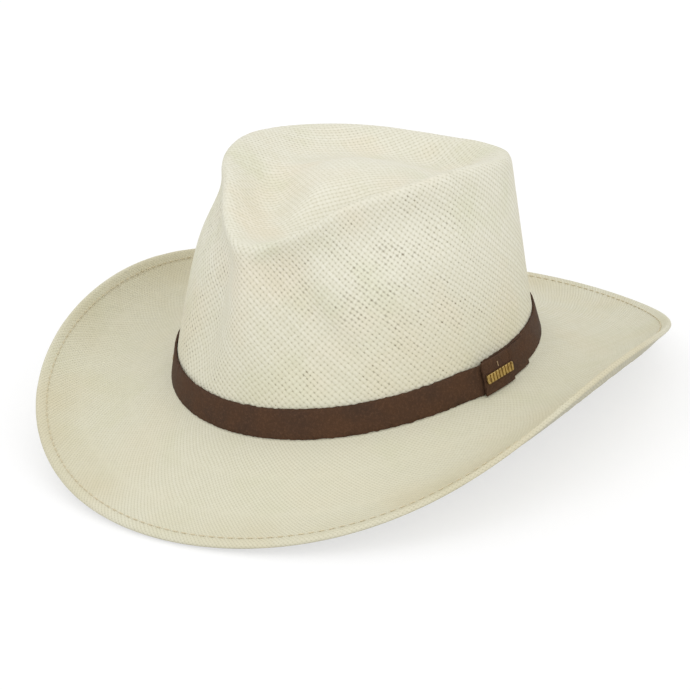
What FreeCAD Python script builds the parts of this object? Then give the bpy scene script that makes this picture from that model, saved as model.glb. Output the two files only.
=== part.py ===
"""Panama hat: a woven straw body with a pinched teardrop crown, a leather band and a sweatband.

Millimetres. The origin is the centre of the head opening, level with the crown's foot. The front of the
hat faces -Y, the wearer's left is +X and up is +Z. An angle round the hat starts at the front, grows
towards the wearer's left and reaches 180 degrees at the back.
"""
import FreeCAD, Part
import Sketcher
import math
import os
from types import SimpleNamespace

Vector = FreeCAD.Vector
UP = Vector(0, 0, 1)

SIZES = {
    # crown: the oval at its foot, on the outside of the straw
    "crown_half_length": 102.4,
    "crown_half_width": 89.1,
    "foot_saddle": 2.4,
    "straw_thickness": 1.0,
    "wall_foot_height": 15.0,
    "wall_lean": 0.204,
    # crest: how far out it stands, as a share of the foot's oval, and its height
    "crest_reach_0": 0.85,
    "crest_reach_30": 0.7,
    "crest_reach_60": 0.66,
    "crest_reach_90": 0.73,
    "crest_reach_120": 0.87,
    "crest_reach_150": 0.895,
    "crest_reach_180": 0.845,
    "crest_tip_reach": 0.05,
    "crest_tip_half_angle": 11.0,
    "crest_height_0": 92.0,
    "crest_height_30": 102.5,
    "crest_height_60": 108.0,
    "crest_height_90": 108.0,
    "crest_height_120": 100.0,
    "crest_height_150": 93.0,
    "crest_height_180": 91.0,
    # dent in the top: a ring-shaped groove round a raised middle
    "groove_reach_front": 0.64,
    "groove_reach_side": 0.52,
    "groove_reach_back": 0.72,
    "groove_height_front": 85.0,
    "groove_height_side": 94.0,
    "groove_height_back": 83.0,
    "plateau_reach": 0.14,
    "plateau_height": 99.0,
    "plateau_flat_reach": 0.08,
    # front pinch, side bulge and the hollow under the crest
    "pinch_depth": 8.0,
    "pinch_angle_low": 29.0,
    "pinch_angle_high": 11.0,
    "pinch_half_angle": 9.5,
    "bulge_depth": 2.5,
    "bulge_angle": 64.0,
    "bulge_half_angle": 34.0,
    "hollow_depth": 5.5,
    "hollow_angle": 52.0,
    "hollow_half_angle": 31.0,
    "hollow_rise": 0.82,
    "hollow_half_rise": 0.16,
    # brim: its width along the straw, its slope at the crown and its slope at the edge
    "brim_width_front": 75.6,
    "brim_width_front_quarter": 72.4,
    "brim_width_side": 68.8,
    "brim_width_back_quarter": 71.4,
    "brim_width_back": 74.5,
    "root_slope_front": -22.5,
    "root_slope_front_quarter": -19.0,
    "root_slope_side": -15.0,
    "root_slope_back_quarter": -23.5,
    "root_slope_back": -28.5,
    "edge_slope_front": -6.5,
    "edge_slope_front_quarter": 22.5,
    "edge_slope_side": 74.0,
    "edge_slope_back_quarter": 27.5,
    "edge_slope_back": 7.5,
    "brim_curl_power": 1.8,
    # hem: the edge of the brim folded under round a cord and sewn down
    "hem_fold_radius": 1.5,
    "hem_width": 7.5,
    "hem_gap": 0.3,
    "edge_cord_radius": 0.32,
    "hem_seam_inset": 3.9,
    "stitch_pitch": 4.8,
    "stitch_length": 2.6,
    "thread_radius": 0.22,
    "thread_lift": 0.4,
    # hatband: one leather strip whose ends overlap on the wearer's left
    "band_low": 0.35,
    "band_high": 15.1,
    "band_thickness": 1.2,
    "band_gap": 0.4,
    "band_overlap_start": 79.5,
    "band_overlap_end": 100.3,
    "band_climb_lead": 9.0,
    "band_climb_angle": 8.0,
    "band_overlap_lift": 1.4,
    "band_overlap_drop": 0.5,
    "leather_bevel": 0.3,
    # tab over the front end of the overlap, and its brass bar
    "tab_start": 77.3,
    "tab_end": 89.6,
    "tab_gap": 3.5,
    "tab_thickness": 1.1,
    "tab_low": -0.35,
    "tab_high": 16.0,
    "bar_length": 21.0,
    "bar_height": 4.6,
    "bar_thickness": 1.1,
    "bar_rounding": 0.35,
    "bar_corner_radius": 0.9,
    "bar_middle_height": 7.6,
    "bar_gap": 0.12,
    "flute_width": 0.9,
    "flute_depth": 0.35,
    "flute_pitch": 2.4,
    "flute_count": 8,
    "pin_radius": 0.5,
    "pin_length": 1.7,
    "pin_spacing": 12.0,
    "pin_clearance": 0.12,
    # thread tacks that hold the band up
    "tack_length": 2.4,
    "tack_height": 12.4,
    # sweatband, folded round a reed at the head opening
    "sweatband_height": 28.0,
    "sweatband_thickness": 0.8,
    "sweatband_gap": 0.5,
    "fold_tail_height": 5.0,
    "fold_full_height": 6.0,
    "fold_end_height": 12.0,
    "fold_shoulder": 0.6,
    "reed_hole_radius": 0.65,
    "reed_radius": 0.5,
    "sweatband_seam_height": 3.2,
    "join_half_angle": 0.25,
    # strip over the join, flat across the oval's end, and the blank size label
    "cover_width": 10.0,
    "cover_low": 8.0,
    "cover_high": 25.0,
    "cover_thickness": 0.7,
    "cover_gap": 2.0,
    "label_width": 15.0,
    "label_height": 11.0,
    "label_thickness": 0.3,
    "label_corner_radius": 1.0,
    "label_middle_height": 19.0,
    "label_gap": 0.5,
}

COLUMNS = 96
CORD_SIDES = 12
STRIP_STEP = 3.0
TAB_STEP = 2.5
SLOPE_STEPS = 40
TACK_ANGLES = (-48.0, -120.0, 165.0)
HEM_ROWS = (1.0, 0.82, 0.64, 0.46, 0.3, 0.15)
BRIM_ROWS = (1.0, 0.975, 0.94, 0.89, 0.82, 0.74, 0.65, 0.55, 0.45, 0.35, 0.26, 0.18, 0.11, 0.055, 0.02)
FOOT_ROWS = (0.02, 0.12, 0.35, 0.65, 0.95)
WALL_ROWS = (0.09, 0.19, 0.3, 0.41, 0.52, 0.62, 0.71, 0.8, 0.89)
DENT_ROWS = (0.9, 0.8, 0.71, 0.62, 0.53, 0.44, 0.35, 0.26, 0.17)
FULL_STATIONS = ("0", "30", "60", "90", "120", "150", "180")
QUARTER_STATIONS = ("front", "front_quarter", "side", "back_quarter", "back")
HALF_STATIONS = ("front", "side", "back")

document = FreeCAD.newDocument("panama_hat")


def make_sheet():
    """The driving dimensions, one named cell each."""
    sheet = document.addObject("Spreadsheet::Sheet", "Dimensions")
    for row, (name, value) in enumerate(SIZES.items(), start=1):
        sheet.set(f"A{row}", name)
        sheet.set(f"B{row}", str(value))
        sheet.setAlias(f"B{row}", name)
    document.recompute()
    return sheet


sheet = make_sheet()
size = SimpleNamespace(**{name: float(sheet.get(name)) for name in SIZES})


# ---- curves round the hat ----

def around(angle, name, stations):
    """A size that varies smoothly from front to back, the same on both sides, through its stations."""
    values = [getattr(size, f"{name}_{station}") for station in stations]
    last = len(values) - 1
    values[0] /= 2
    values[last] /= 2
    total = 0.0
    for order in range(last + 1):
        term = sum(value * math.cos(math.pi * order * index / last) for index, value in enumerate(values))
        if order in (0, last):
            term /= 2
        total += term * math.cos(order * math.radians(angle))
    return total * 2 / last


def lobe(value, middle, half_width):
    """A bell-shaped weight: 1 at the middle, about a third at the half width."""
    return math.exp(-((value - middle) / half_width) ** 2)


def ease(value):
    """A smooth step from 0 to 1."""
    value = min(max(value, 0.0), 1.0)
    return value * value * (3 - 2 * value)


def from_front(angle):
    """The same angle measured from the front to either side, 0 to 180."""
    return abs((angle + 180) % 360 - 180)


def foot_point(angle):
    """Point of the oval where the crown meets the brim, on the outside of the straw."""
    turn = math.radians(angle)
    x = size.crown_half_width * math.sin(turn)
    y = -size.crown_half_length * math.cos(turn)
    return Vector(x, y, -size.foot_saddle * math.cos(2 * turn))


def outward(angle):
    """Level unit vector square to the foot's oval, away from the head."""
    turn = math.radians(angle)
    across = math.sin(turn) / size.crown_half_width
    along = -math.cos(turn) / size.crown_half_length
    return Vector(across, along, 0).normalize()


def crest_point(angle):
    """Point of the crest, the rounded ridge round the top of the crown."""
    turn = math.radians(angle)
    reach = around(angle, "crest_reach", FULL_STATIONS)
    reach += size.crest_tip_reach * lobe(from_front(angle), 0, size.crest_tip_half_angle)
    height = around(angle, "crest_height", FULL_STATIONS)
    x = size.crown_half_width * reach * math.sin(turn)
    y = -size.crown_half_length * reach * math.cos(turn)
    return Vector(x, y, height)


# ---- the crown ----

def wall_foot_point(angle, height):
    """Point of the straight lower stretch of the wall, which the hatband wraps."""
    return foot_point(angle) + UP * height - outward(angle) * (height * size.wall_lean)


def wall_swell(angle, rise):
    """How far the upper wall stands out from a straight line between its foot and the crest."""
    side = from_front(angle)
    arch = math.sin(math.pi * rise)
    pinch_middle = size.pinch_angle_low + (size.pinch_angle_high - size.pinch_angle_low) * rise
    pinch = size.pinch_depth * lobe(side, pinch_middle, size.pinch_half_angle) * math.sqrt(arch)
    bulge = size.bulge_depth * lobe(side, size.bulge_angle, size.bulge_half_angle) * arch
    hollow = size.hollow_depth * lobe(side, size.hollow_angle, size.hollow_half_angle)
    hollow *= lobe(rise, size.hollow_rise, size.hollow_half_rise)
    return bulge - pinch - hollow


def wall_point(angle, rise):
    """Point of the upper wall: rise is 0 at the top of the lower stretch and 1 at the crest."""
    start = wall_foot_point(angle, size.wall_foot_height)
    straight = start + (crest_point(angle) - start) * rise
    return straight + outward(angle) * wall_swell(angle, rise)


def wall_at_height(angle, height):
    """Point of the outside of the wall at a height above the foot."""
    if height <= size.wall_foot_height:
        return wall_foot_point(angle, height)
    start = wall_foot_point(angle, size.wall_foot_height)
    climb = crest_point(angle).z - start.z
    return wall_point(angle, (height - size.wall_foot_height) / climb)


def dent_point(angle, reach):
    """Point of the dented top, at a share of the way from the middle out to the crest."""
    crest = crest_point(angle)
    groove_reach = around(angle, "groove_reach", HALF_STATIONS)
    groove_height = around(angle, "groove_height", HALF_STATIONS)
    if reach >= groove_reach:
        share = (reach - groove_reach) / (1 - groove_reach)
        height = groove_height + (crest.z - groove_height) * ease(share)
    else:
        share = (groove_reach - reach) / (groove_reach - size.plateau_reach)
        height = groove_height + (size.plateau_height - groove_height) * ease(share)
    return Vector(crest.x * reach, crest.y * reach, height)


# ---- the brim ----

def brim_slope(angle, share):
    """Slope of the brim in degrees, at a share of its width out from the crown."""
    root = around(angle, "root_slope", QUARTER_STATIONS)
    edge = around(angle, "edge_slope", QUARTER_STATIONS)
    return root + (edge - root) * share ** size.brim_curl_power


def brim_frame(angle, share):
    """Point of the brim's top, its outward direction and its normal, at a share of the brim's width."""
    width = around(angle, "brim_width", QUARTER_STATIONS) - size.hem_fold_radius
    level = outward(angle)
    point = foot_point(angle)
    stride = width * share / SLOPE_STEPS
    for step in range(SLOPE_STEPS):
        slope = math.radians(brim_slope(angle, share * (step + 0.5) / SLOPE_STEPS))
        point += level * (stride * math.cos(slope)) + UP * (stride * math.sin(slope))
    slope = math.radians(brim_slope(angle, share))
    along = level * math.cos(slope) + UP * math.sin(slope)
    normal = UP * math.cos(slope) - level * math.sin(slope)
    return point, along, normal


def hem_points(angle):
    """Outer side of the hem: from its sewn end under the brim, out to the fold and round the cord."""
    width = around(angle, "brim_width", QUARTER_STATIONS) - size.hem_fold_radius
    fold_drop = 2 * size.hem_fold_radius
    sewn_drop = 2 * size.straw_thickness + size.hem_gap
    points = []
    for inset in HEM_ROWS:
        point, _, normal = brim_frame(angle, 1 - inset * size.hem_width / width)
        drop = fold_drop + (sewn_drop - fold_drop) * ease(inset * 2)
        points.append(point - normal * drop)
    point, along, normal = brim_frame(angle, 1.0)
    centre = point - normal * size.hem_fold_radius
    pole_radius = size.hem_fold_radius * circle_gain(8)
    for quarter in (4, 3, 2, 1):
        turn = quarter * math.pi / 4
        spoke = normal * math.cos(turn) + along * math.sin(turn)
        points.append(centre + spoke * pole_radius)
    return points


def straw_profile(angle):
    """Poles of the straw's outer side in one column, from the hem's end to the middle of the top."""
    points = hem_points(angle)
    points += [brim_frame(angle, share)[0] for share in BRIM_ROWS]
    points += [wall_foot_point(angle, share * size.wall_foot_height) for share in FOOT_ROWS]
    points += [wall_point(angle, rise) for rise in WALL_ROWS]
    points.append(crest_point(angle))
    points += [dent_point(angle, reach) for reach in DENT_ROWS]
    points.append(dent_point(angle, size.plateau_flat_reach))
    return points


# ---- surfaces and solids ----

def round_surface(columns):
    """Cubic surface, closed round the hat, with clamped ends, from columns of poles."""
    rows = len(columns[0])
    surface = Part.BSplineSurface()
    end_knots = [4] + [1] * (rows - 4) + [4]
    surface.buildFromPolesMultsKnots(
        columns, [1] * (len(columns) + 1), end_knots,
        range(len(columns) + 1), range(len(end_knots)), True, False, 3, 3)
    return surface


def edge_surface(first, second):
    """Ruled surface between two closed cubic curves round the hat."""
    surface = Part.BSplineSurface()
    columns = [[one, other] for one, other in zip(first, second)]
    surface.buildFromPolesMultsKnots(
        columns, [1] * (len(columns) + 1), [2, 2], range(len(columns) + 1), [0, 1], True, False, 3, 1)
    return surface


def offset_columns(columns, distance):
    """The same columns of poles, moved square to the surface, away from its outer side."""
    count = len(columns)
    last = len(columns[0]) - 1
    moved = []
    for index, column in enumerate(columns):
        before = columns[index - 1]
        after = columns[(index + 1) % count]
        new_column = []
        for row, point in enumerate(column):
            round_way = after[row] - before[row]
            inward_way = column[min(row + 1, last)] - column[max(row - 1, 0)]
            normal = round_way.cross(inward_way).normalize() if row < last else UP
            new_column.append(point - normal * distance)
        moved.append(new_column)
    return moved


def closed_solid(faces):
    """One solid from faces that enclose it."""
    shell = Part.Shell(faces)
    shell.sewShape()
    solid = Part.Solid(shell)
    if solid.Volume < 0:
        solid.reverse()
    return solid


def circle_gain(count):
    """Factor that makes a cubic curve through evenly spaced poles reach the circle they stand on."""
    return 3 / (2 + math.cos(2 * math.pi / count))


def grow(point, gain):
    """The point moved away from the hat's axis."""
    return Vector(point.x * gain, point.y * gain, point.z)


def cord(centre_frame, radius):
    """Cord along a closed line round the hat; centre_frame gives its centre and the two ways across it."""
    gain = circle_gain(COLUMNS)
    sections = []
    for index in range(COLUMNS):
        centre, across, normal = centre_frame(index * 360 / COLUMNS)
        corners = []
        for side in range(CORD_SIDES):
            turn = 2 * math.pi * side / CORD_SIDES
            corner = centre + across * (radius * math.cos(turn)) + normal * (radius * math.sin(turn))
            corners.append(grow(corner, gain))
        sections.append(corners)
    faces = []
    for side in range(CORD_SIDES):
        first = [corners[side] for corners in sections]
        second = [corners[(side + 1) % CORD_SIDES] for corners in sections]
        faces.append(edge_surface(first, second).toShape())
    return closed_solid(faces)


def strip(sections):
    """Leather strip: each corner of its outline follows one cubic curve through all the sections."""
    corners = len(sections[0])
    end_mults = [4] + [1] * (len(sections) - 4) + [4]
    faces = []
    for corner in range(corners):
        columns = [[section[corner], section[(corner + 1) % corners]] for section in sections]
        surface = Part.BSplineSurface()
        surface.buildFromPolesMultsKnots(
            columns, end_mults, [2, 2], range(len(end_mults)), [0, 1], False, False, 3, 1)
        faces.append(surface.toShape())
    for section in (sections[0], sections[-1]):
        faces.append(Part.Face(Part.makePolygon(section + section[:1])))
    return closed_solid(faces)


def angles_between(start, end, step):
    """Evenly spaced angles from start to end, about one step apart."""
    count = max(2, round((end - start) / step))
    return [start + (end - start) * index / count for index in range(count + 1)]


def stitch(start, end):
    """One straight stitch of thread."""
    return Part.makeCylinder(size.thread_radius, (end - start).Length, start, end - start)


def running_stitches(label, seam_point, phase):
    """Even row of stitches on a closed line round the hat; the phase shifts the row by part of a pitch."""
    line = [seam_point(angle) for angle in range(361)]
    length = sum((after - before).Length for before, after in zip(line, line[1:]))
    count = round(length / size.stitch_pitch)
    half_angle = 180 / count * size.stitch_length / size.stitch_pitch
    stitches = []
    for index in range(count):
        angle = (index + phase) * 360 / count
        stitches.append(stitch(seam_point(angle - half_angle), seam_point(angle + half_angle)))
    return feature(label, Part.makeCompound(stitches))


def feature(label, shape):
    """Document object for a piece whose curved shape is worked out above."""
    piece = document.addObject("Part::Feature", label)
    piece.Label = label
    piece.Shape = shape
    return piece


# ---- straw body, its cord and its hem thread ----

def make_straw_body():
    """The woven crown and brim, one sheet of straw with its edge folded under."""
    gain = circle_gain(COLUMNS)
    outer = []
    for index in range(COLUMNS):
        outer.append([grow(point, gain) for point in straw_profile(index * 360 / COLUMNS)])
    inner = offset_columns(outer, size.straw_thickness)
    faces = [round_surface(outer).toShape(), round_surface(inner).toShape()]
    faces.append(edge_surface([column[0] for column in outer], [column[0] for column in inner]).toShape())
    for columns in (outer, inner):
        rim = Part.BSplineCurve()
        rim.buildFromPolesMultsKnots(
            [column[-1] for column in columns], [1] * (COLUMNS + 1), range(COLUMNS + 1), True, 3)
        faces.append(Part.Face(Part.Wire(rim.toShape())))
    return feature("straw_body", closed_solid(faces))


def make_edge_cord():
    """The filament that the brim's edge is folded round."""
    def frame(angle):
        point, along, normal = brim_frame(angle, 1.0)
        return point - normal * size.hem_fold_radius, along, normal

    return feature("brim_edge_cord", cord(frame, size.edge_cord_radius))


def make_hem_thread():
    """Running stitches on top of the brim that hold the hem down."""
    width = around(0, "brim_width", QUARTER_STATIONS)
    share = 1 - size.hem_seam_inset / width

    def seam_point(angle):
        point, _, normal = brim_frame(angle, share)
        return point + normal * size.thread_lift

    return running_stitches("brim_hem_thread", seam_point, 0)


# ---- hatband, tab and brass bar ----

def band_outline(angle, gap, thickness, low, high):
    """Bevelled outline of a leather strip standing off the wall by a gap."""
    bevel = size.leather_bevel
    face = gap + thickness
    corners = (
        (gap, low + bevel), (gap + bevel, low), (face - bevel, low), (face, low + bevel),
        (face, high - bevel), (face - bevel, high), (gap + bevel, high), (gap, high - bevel))
    return [wall_foot_point(angle, height) + outward(angle) * out for out, height in corners]


def make_hatband():
    """One strip round the crown: its front end lies over its back end and under the tab."""
    start = size.band_overlap_start
    end = size.band_overlap_end + 360
    climb_start = start + 360 - size.band_climb_lead
    sections = []
    for angle in angles_between(start, end, STRIP_STEP):
        lift = ease((angle - climb_start) / size.band_climb_angle)
        gap = size.band_gap + size.band_overlap_lift * lift
        drop = size.band_overlap_drop * lift
        sections.append(band_outline(
            angle, gap, size.band_thickness, size.band_low - drop, size.band_high - drop))
    return feature("hatband", strip(sections))


def bar_placement():
    """Where the brass bar sits: X along the band, Y up the wall and Z out of the tab."""
    angle = (size.tab_start + size.tab_end) / 2
    out = outward(angle)
    climb = (UP - out * size.wall_lean).normalize()
    along = UP.cross(out)
    face = size.tab_gap + size.tab_thickness + size.bar_gap
    origin = wall_foot_point(angle, size.bar_middle_height) + out * face
    return FreeCAD.Placement(origin, FreeCAD.Rotation(along, climb, along.cross(climb), "ZXY"))


def make_tab():
    """The leather tab, with a hole for each of the bar's pins."""
    sections = []
    for angle in angles_between(size.tab_start, size.tab_end, TAB_STEP):
        sections.append(band_outline(angle, size.tab_gap, size.tab_thickness, size.tab_low, size.tab_high))
    solid = strip(sections)
    placement = bar_placement()
    for side in (-1, 1):
        hole_depth = 2 * size.pin_length
        hole = Part.makeCylinder(size.pin_radius + size.pin_clearance, hole_depth, Vector(0, 0, -hole_depth))
        hole.translate(Vector(side * size.pin_spacing / 2, 0, 0))
        hole.Placement = placement.multiply(hole.Placement)
        solid = solid.cut(hole)
    return feature("hatband_tab", solid.Solids[0])


def new_body(label):
    """Empty body with its own label."""
    body = document.addObject("PartDesign::Body", label)
    body.Label = label
    document.recompute()
    return body


def new_sketch(body, name):
    """Sketch on the body's XY plane."""
    plane = next(plane for plane in body.Origin.OriginFeatures if plane.Role == "XY_Plane")
    sketch = body.newObject("Sketcher::SketchObject", name)
    sketch.AttachmentSupport = [(plane, "")]
    sketch.MapMode = "FlatFace"
    return sketch


def add_rectangle(sketch, width, height):
    """Rectangle centred on the sketch's origin, with its sides bound to expressions in the sheet."""
    points = [Vector(x, y, 0) for x, y in ((-1, -1), (1, -1), (1, 1), (-1, 1))]
    for index in range(4):
        sketch.addGeometry(Part.LineSegment(points[index], points[(index + 1) % 4]), False)
    for index in range(4):
        sketch.addConstraint(Sketcher.Constraint("Coincident", index, 2, (index + 1) % 4, 1))
    for index in (0, 2):
        sketch.addConstraint(Sketcher.Constraint("Horizontal", index))
        sketch.addConstraint(Sketcher.Constraint("Vertical", index + 1))
    bound = (("DistanceX", 0, 1, 0, 2, width), ("DistanceY", 1, 1, 1, 2, height))
    for kind, line_a, end_a, line_b, end_b, expression in bound:
        number = sketch.addConstraint(Sketcher.Constraint(kind, line_a, end_a, line_b, end_b, 1.0))
        sketch.setExpression(f"Constraints[{number}]", expression)
    sketch.addConstraint(Sketcher.Constraint("Symmetric", 0, 1, 2, 1, -1, 1))


def pad(body, sketch, name, length, reverse=False):
    """Pad whose length is bound to an expression in the sheet."""
    feature_pad = body.newObject("PartDesign::Pad", name)
    feature_pad.Profile = sketch
    feature_pad.setExpression("Length", length)
    feature_pad.Reversed = reverse
    document.recompute()
    return feature_pad


def rounded(body, base, name, edges, radius):
    """Fillet on named edges of the last feature."""
    fillet = body.newObject("PartDesign::Fillet", name)
    fillet.Base = (base, edges)
    fillet.setExpression("Radius", radius)
    document.recompute()
    return fillet


def edges_along(shape, direction):
    """Names of the straight edges that run along a direction."""
    names = []
    for number, edge in enumerate(shape.Edges, start=1):
        run = edge.Vertexes[-1].Point - edge.Vertexes[0].Point
        if run.Length > 1e-6 and run.cross(direction).Length < 1e-6 * run.Length:
            names.append(f"Edge{number}")
    return names


def edges_at_height(shape, height):
    """Names of the edges that lie level at a height."""
    names = []
    for number, edge in enumerate(shape.Edges, start=1):
        box = edge.BoundBox
        if abs(box.ZMin - height) < 1e-6 and abs(box.ZMax - height) < 1e-6:
            names.append(f"Edge{number}")
    return names


def make_bar():
    """Plain brass bar with even flutes across its face and two pins behind it."""
    body = new_body("tab_bar")
    outline = new_sketch(body, "bar_outline")
    add_rectangle(outline, "Dimensions.bar_length", "Dimensions.bar_height")
    plate = pad(body, outline, "bar_plate", "Dimensions.bar_thickness")
    corners = rounded(
        body, plate, "bar_corners", edges_along(plate.Shape, UP), "Dimensions.bar_corner_radius")
    rim = edges_at_height(corners.Shape, size.bar_thickness)
    softened = rounded(body, corners, "bar_rim", rim, "Dimensions.bar_rounding")

    flute = new_sketch(body, "flute_outline")
    flute.AttachmentOffset = FreeCAD.Placement(Vector(0, 0, size.bar_thickness), FreeCAD.Rotation())
    flute.setExpression("AttachmentOffset.Base.z", "Dimensions.bar_thickness")
    flute.setExpression(
        "AttachmentOffset.Base.x", "-Dimensions.flute_pitch * (Dimensions.flute_count - 1) / 2")
    add_rectangle(flute, "Dimensions.flute_width", "Dimensions.bar_height + 1")
    before = softened.Shape.Volume
    pocket = body.newObject("PartDesign::Pocket", "flute")
    pocket.Profile = flute
    pocket.setExpression("Length", "Dimensions.flute_depth")
    document.recompute()
    if pocket.Shape.Volume >= before:
        raise RuntimeError("the flute cuts nothing")
    pattern = body.newObject("PartDesign::LinearPattern", "flutes")
    pattern.Originals = [pocket]
    pattern.Direction = (outline, ["H_Axis"])
    pattern.setExpression("Length", "Dimensions.flute_pitch * (Dimensions.flute_count - 1)")
    pattern.setExpression("Occurrences", "Dimensions.flute_count")
    body.Tip = pattern
    document.recompute()

    pins = new_sketch(body, "pin_outline")
    for side in (-1, 1):
        centre = Vector(side * size.pin_spacing / 2, 0, 0)
        circle = pins.addGeometry(Part.Circle(centre, UP, size.pin_radius), False)
        radius = pins.addConstraint(Sketcher.Constraint("Radius", circle, size.pin_radius))
        pins.setExpression(f"Constraints[{radius}]", "Dimensions.pin_radius")
    pins.addConstraint(Sketcher.Constraint("PointOnObject", 0, 3, -1))
    pins.addConstraint(Sketcher.Constraint("Symmetric", 0, 3, 1, 3, -1, 1))
    spacing = pins.addConstraint(Sketcher.Constraint("DistanceX", 0, 3, 1, 3, size.pin_spacing))
    pins.setExpression(f"Constraints[{spacing}]", "Dimensions.pin_spacing")
    pad(body, pins, "pins", "Dimensions.pin_length", reverse=True)
    body.Placement = bar_placement()
    return body


def make_tacks():
    """Short upright thread tacks near the band's top edge, one of them on the tab."""
    bottom = size.tack_height - size.tack_length / 2
    tab_angle = (size.tab_start + size.tab_end) / 2
    tab_face = size.tab_gap + size.tab_thickness + size.thread_lift
    band_face = size.band_gap + size.band_thickness + size.thread_lift
    places = [(angle, band_face) for angle in TACK_ANGLES] + [(tab_angle, tab_face)]
    tacks = []
    for angle, face in places:
        start = wall_foot_point(angle, bottom) + outward(angle) * face
        end = wall_foot_point(angle, bottom + size.tack_length) + outward(angle) * face
        tacks.append(stitch(start, end))
    return feature("hatband_tacks", Part.makeCompound(tacks))


# ---- sweatband and what is fixed to it ----

def lining_point(angle, inset, height):
    """Point inside the crown, at a distance in from the straw's inner side."""
    foot = foot_point(angle)
    out = outward(angle)
    lean = (wall_at_height(angle, height) - foot).dot(out) if height > 0 else 0
    return foot + UP * height + out * (lean - size.straw_thickness - inset)


def sweatband_outline(angle):
    """Outline of the sweatband: a tall leaf, folded at the foot round the reed, with a short tail."""
    gap = size.sweatband_gap
    leaf = size.sweatband_thickness
    hole = size.reed_hole_radius
    centre = gap + leaf + hole
    outer = [(gap, size.fold_tail_height), (gap, 0)]
    inner = [(gap + leaf, 0), (gap + leaf, size.fold_tail_height)]
    for turn in range(210, 331, 30):
        across = math.cos(math.radians(turn))
        down = math.sin(math.radians(turn))
        outer.append((centre + across * (hole + leaf), down * (hole + leaf)))
        inner.insert(0, (centre + across * hole, down * hole))
    upper_step = (size.sweatband_height - size.fold_end_height) / 3
    heights = [0, size.fold_full_height] + [size.fold_end_height + upper_step * step for step in range(4)]
    leaf_insets = (centre + hole, centre + size.fold_shoulder * hole, gap, gap, gap, gap)
    face = [(inset + leaf, height) for inset, height in zip(leaf_insets, heights)]
    back = [(inset, height) for inset, height in zip(leaf_insets, heights)]
    outline = outer + face + back[::-1] + inner
    return [lining_point(angle, inset, height) for inset, height in outline]


def make_sweatband():
    """The leather sweatband, an open strip whose ends meet at the back."""
    start = 180 + size.join_half_angle
    end = 540 - size.join_half_angle
    sections = [sweatband_outline(angle) for angle in angles_between(start, end, STRIP_STEP)]
    return feature("sweatband", strip(sections))


def make_reed():
    """The reed in the sweatband's fold."""
    inset = size.sweatband_gap + size.sweatband_thickness + size.reed_hole_radius
    return feature("sweatband_reed", cord(
        lambda angle: (lining_point(angle, inset, 0), outward(angle), UP), size.reed_radius))


def make_sweatband_thread():
    """Stitches on the head's side of the sweatband that close the fold and hold it to the straw."""
    hole = size.reed_hole_radius
    inset = size.sweatband_gap + 2 * size.sweatband_thickness + 2 * hole + size.thread_lift

    def seam_point(angle):
        return lining_point(angle, inset, size.sweatband_seam_height)

    return running_stitches("sweatband_thread", seam_point, 0.5)


def lining_placement(angle, inset, height):
    """Placement on the sweatband's face: X along it, Y up it and Z towards the head."""
    out = outward(angle)
    climb = (UP - out * size.wall_lean).normalize()
    along = out.cross(UP)
    origin = lining_point(angle, inset, height)
    return FreeCAD.Placement(origin, FreeCAD.Rotation(along, climb, along.cross(climb), "ZXY"))


def make_plate(label, width, height, thickness, corner_radius=None):
    """Flat rectangular piece, padded from its sketch."""
    body = new_body(label)
    outline = new_sketch(body, f"{label}_outline")
    add_rectangle(outline, width, height)
    plate = pad(body, outline, f"{label}_plate", thickness)
    if corner_radius:
        rounded(body, plate, f"{label}_corners", edges_along(plate.Shape, UP), corner_radius)
    return body


def make_seam_cover():
    """Leather strip over the join at the back of the sweatband."""
    body = make_plate(
        "sweatband_seam_cover", "Dimensions.cover_width", "Dimensions.cover_high - Dimensions.cover_low",
        "Dimensions.cover_thickness")
    inset = size.sweatband_gap + size.sweatband_thickness + size.cover_gap
    body.Placement = lining_placement(180, inset, (size.cover_low + size.cover_high) / 2)
    return body


def make_label():
    """Blank woven label on the sweatband."""
    body = make_plate(
        "size_label", "Dimensions.label_width", "Dimensions.label_height", "Dimensions.label_thickness",
        "Dimensions.label_corner_radius")
    inset = size.sweatband_gap + size.sweatband_thickness + size.label_gap
    body.Placement = lining_placement(-90, inset, size.label_middle_height)
    return body


# ---- build, check and write ----

def main():
    """Builds every piece, checks it and writes it as its own STEP file."""
    pieces = [
        make_straw_body(), make_edge_cord(), make_hem_thread(),
        make_hatband(), make_tab(), make_bar(), make_tacks(),
        make_sweatband(), make_reed(), make_sweatband_thread(), make_seam_cover(), make_label()]
    document.recompute()
    for item in document.Objects:
        if {"Invalid", "Error"} & set(item.State):
            raise RuntimeError(f"{item.Name} failed: {item.State}")
    for piece in pieces:
        if piece.Shape.isNull() or not piece.Shape.isValid():
            raise RuntimeError(f"{piece.Label} has no valid shape")
    os.makedirs("parts", exist_ok=True)
    for piece in pieces:
        piece.Shape.exportStep(f"parts/{piece.Label}.step")
        print(piece.Label, len(piece.Shape.Solids), round(piece.Shape.Volume))


main()
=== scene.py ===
"""Looks of the panama hat: woven straw, leather band, brass bar and sweatband, on a pale floor.

Metres, in the frame's own axes: the front of the hat faces -Y, the wearer's left is +X and up is +Z.
"""

import math

import bpy
import numpy as np
from mathutils import Matrix, Vector


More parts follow.
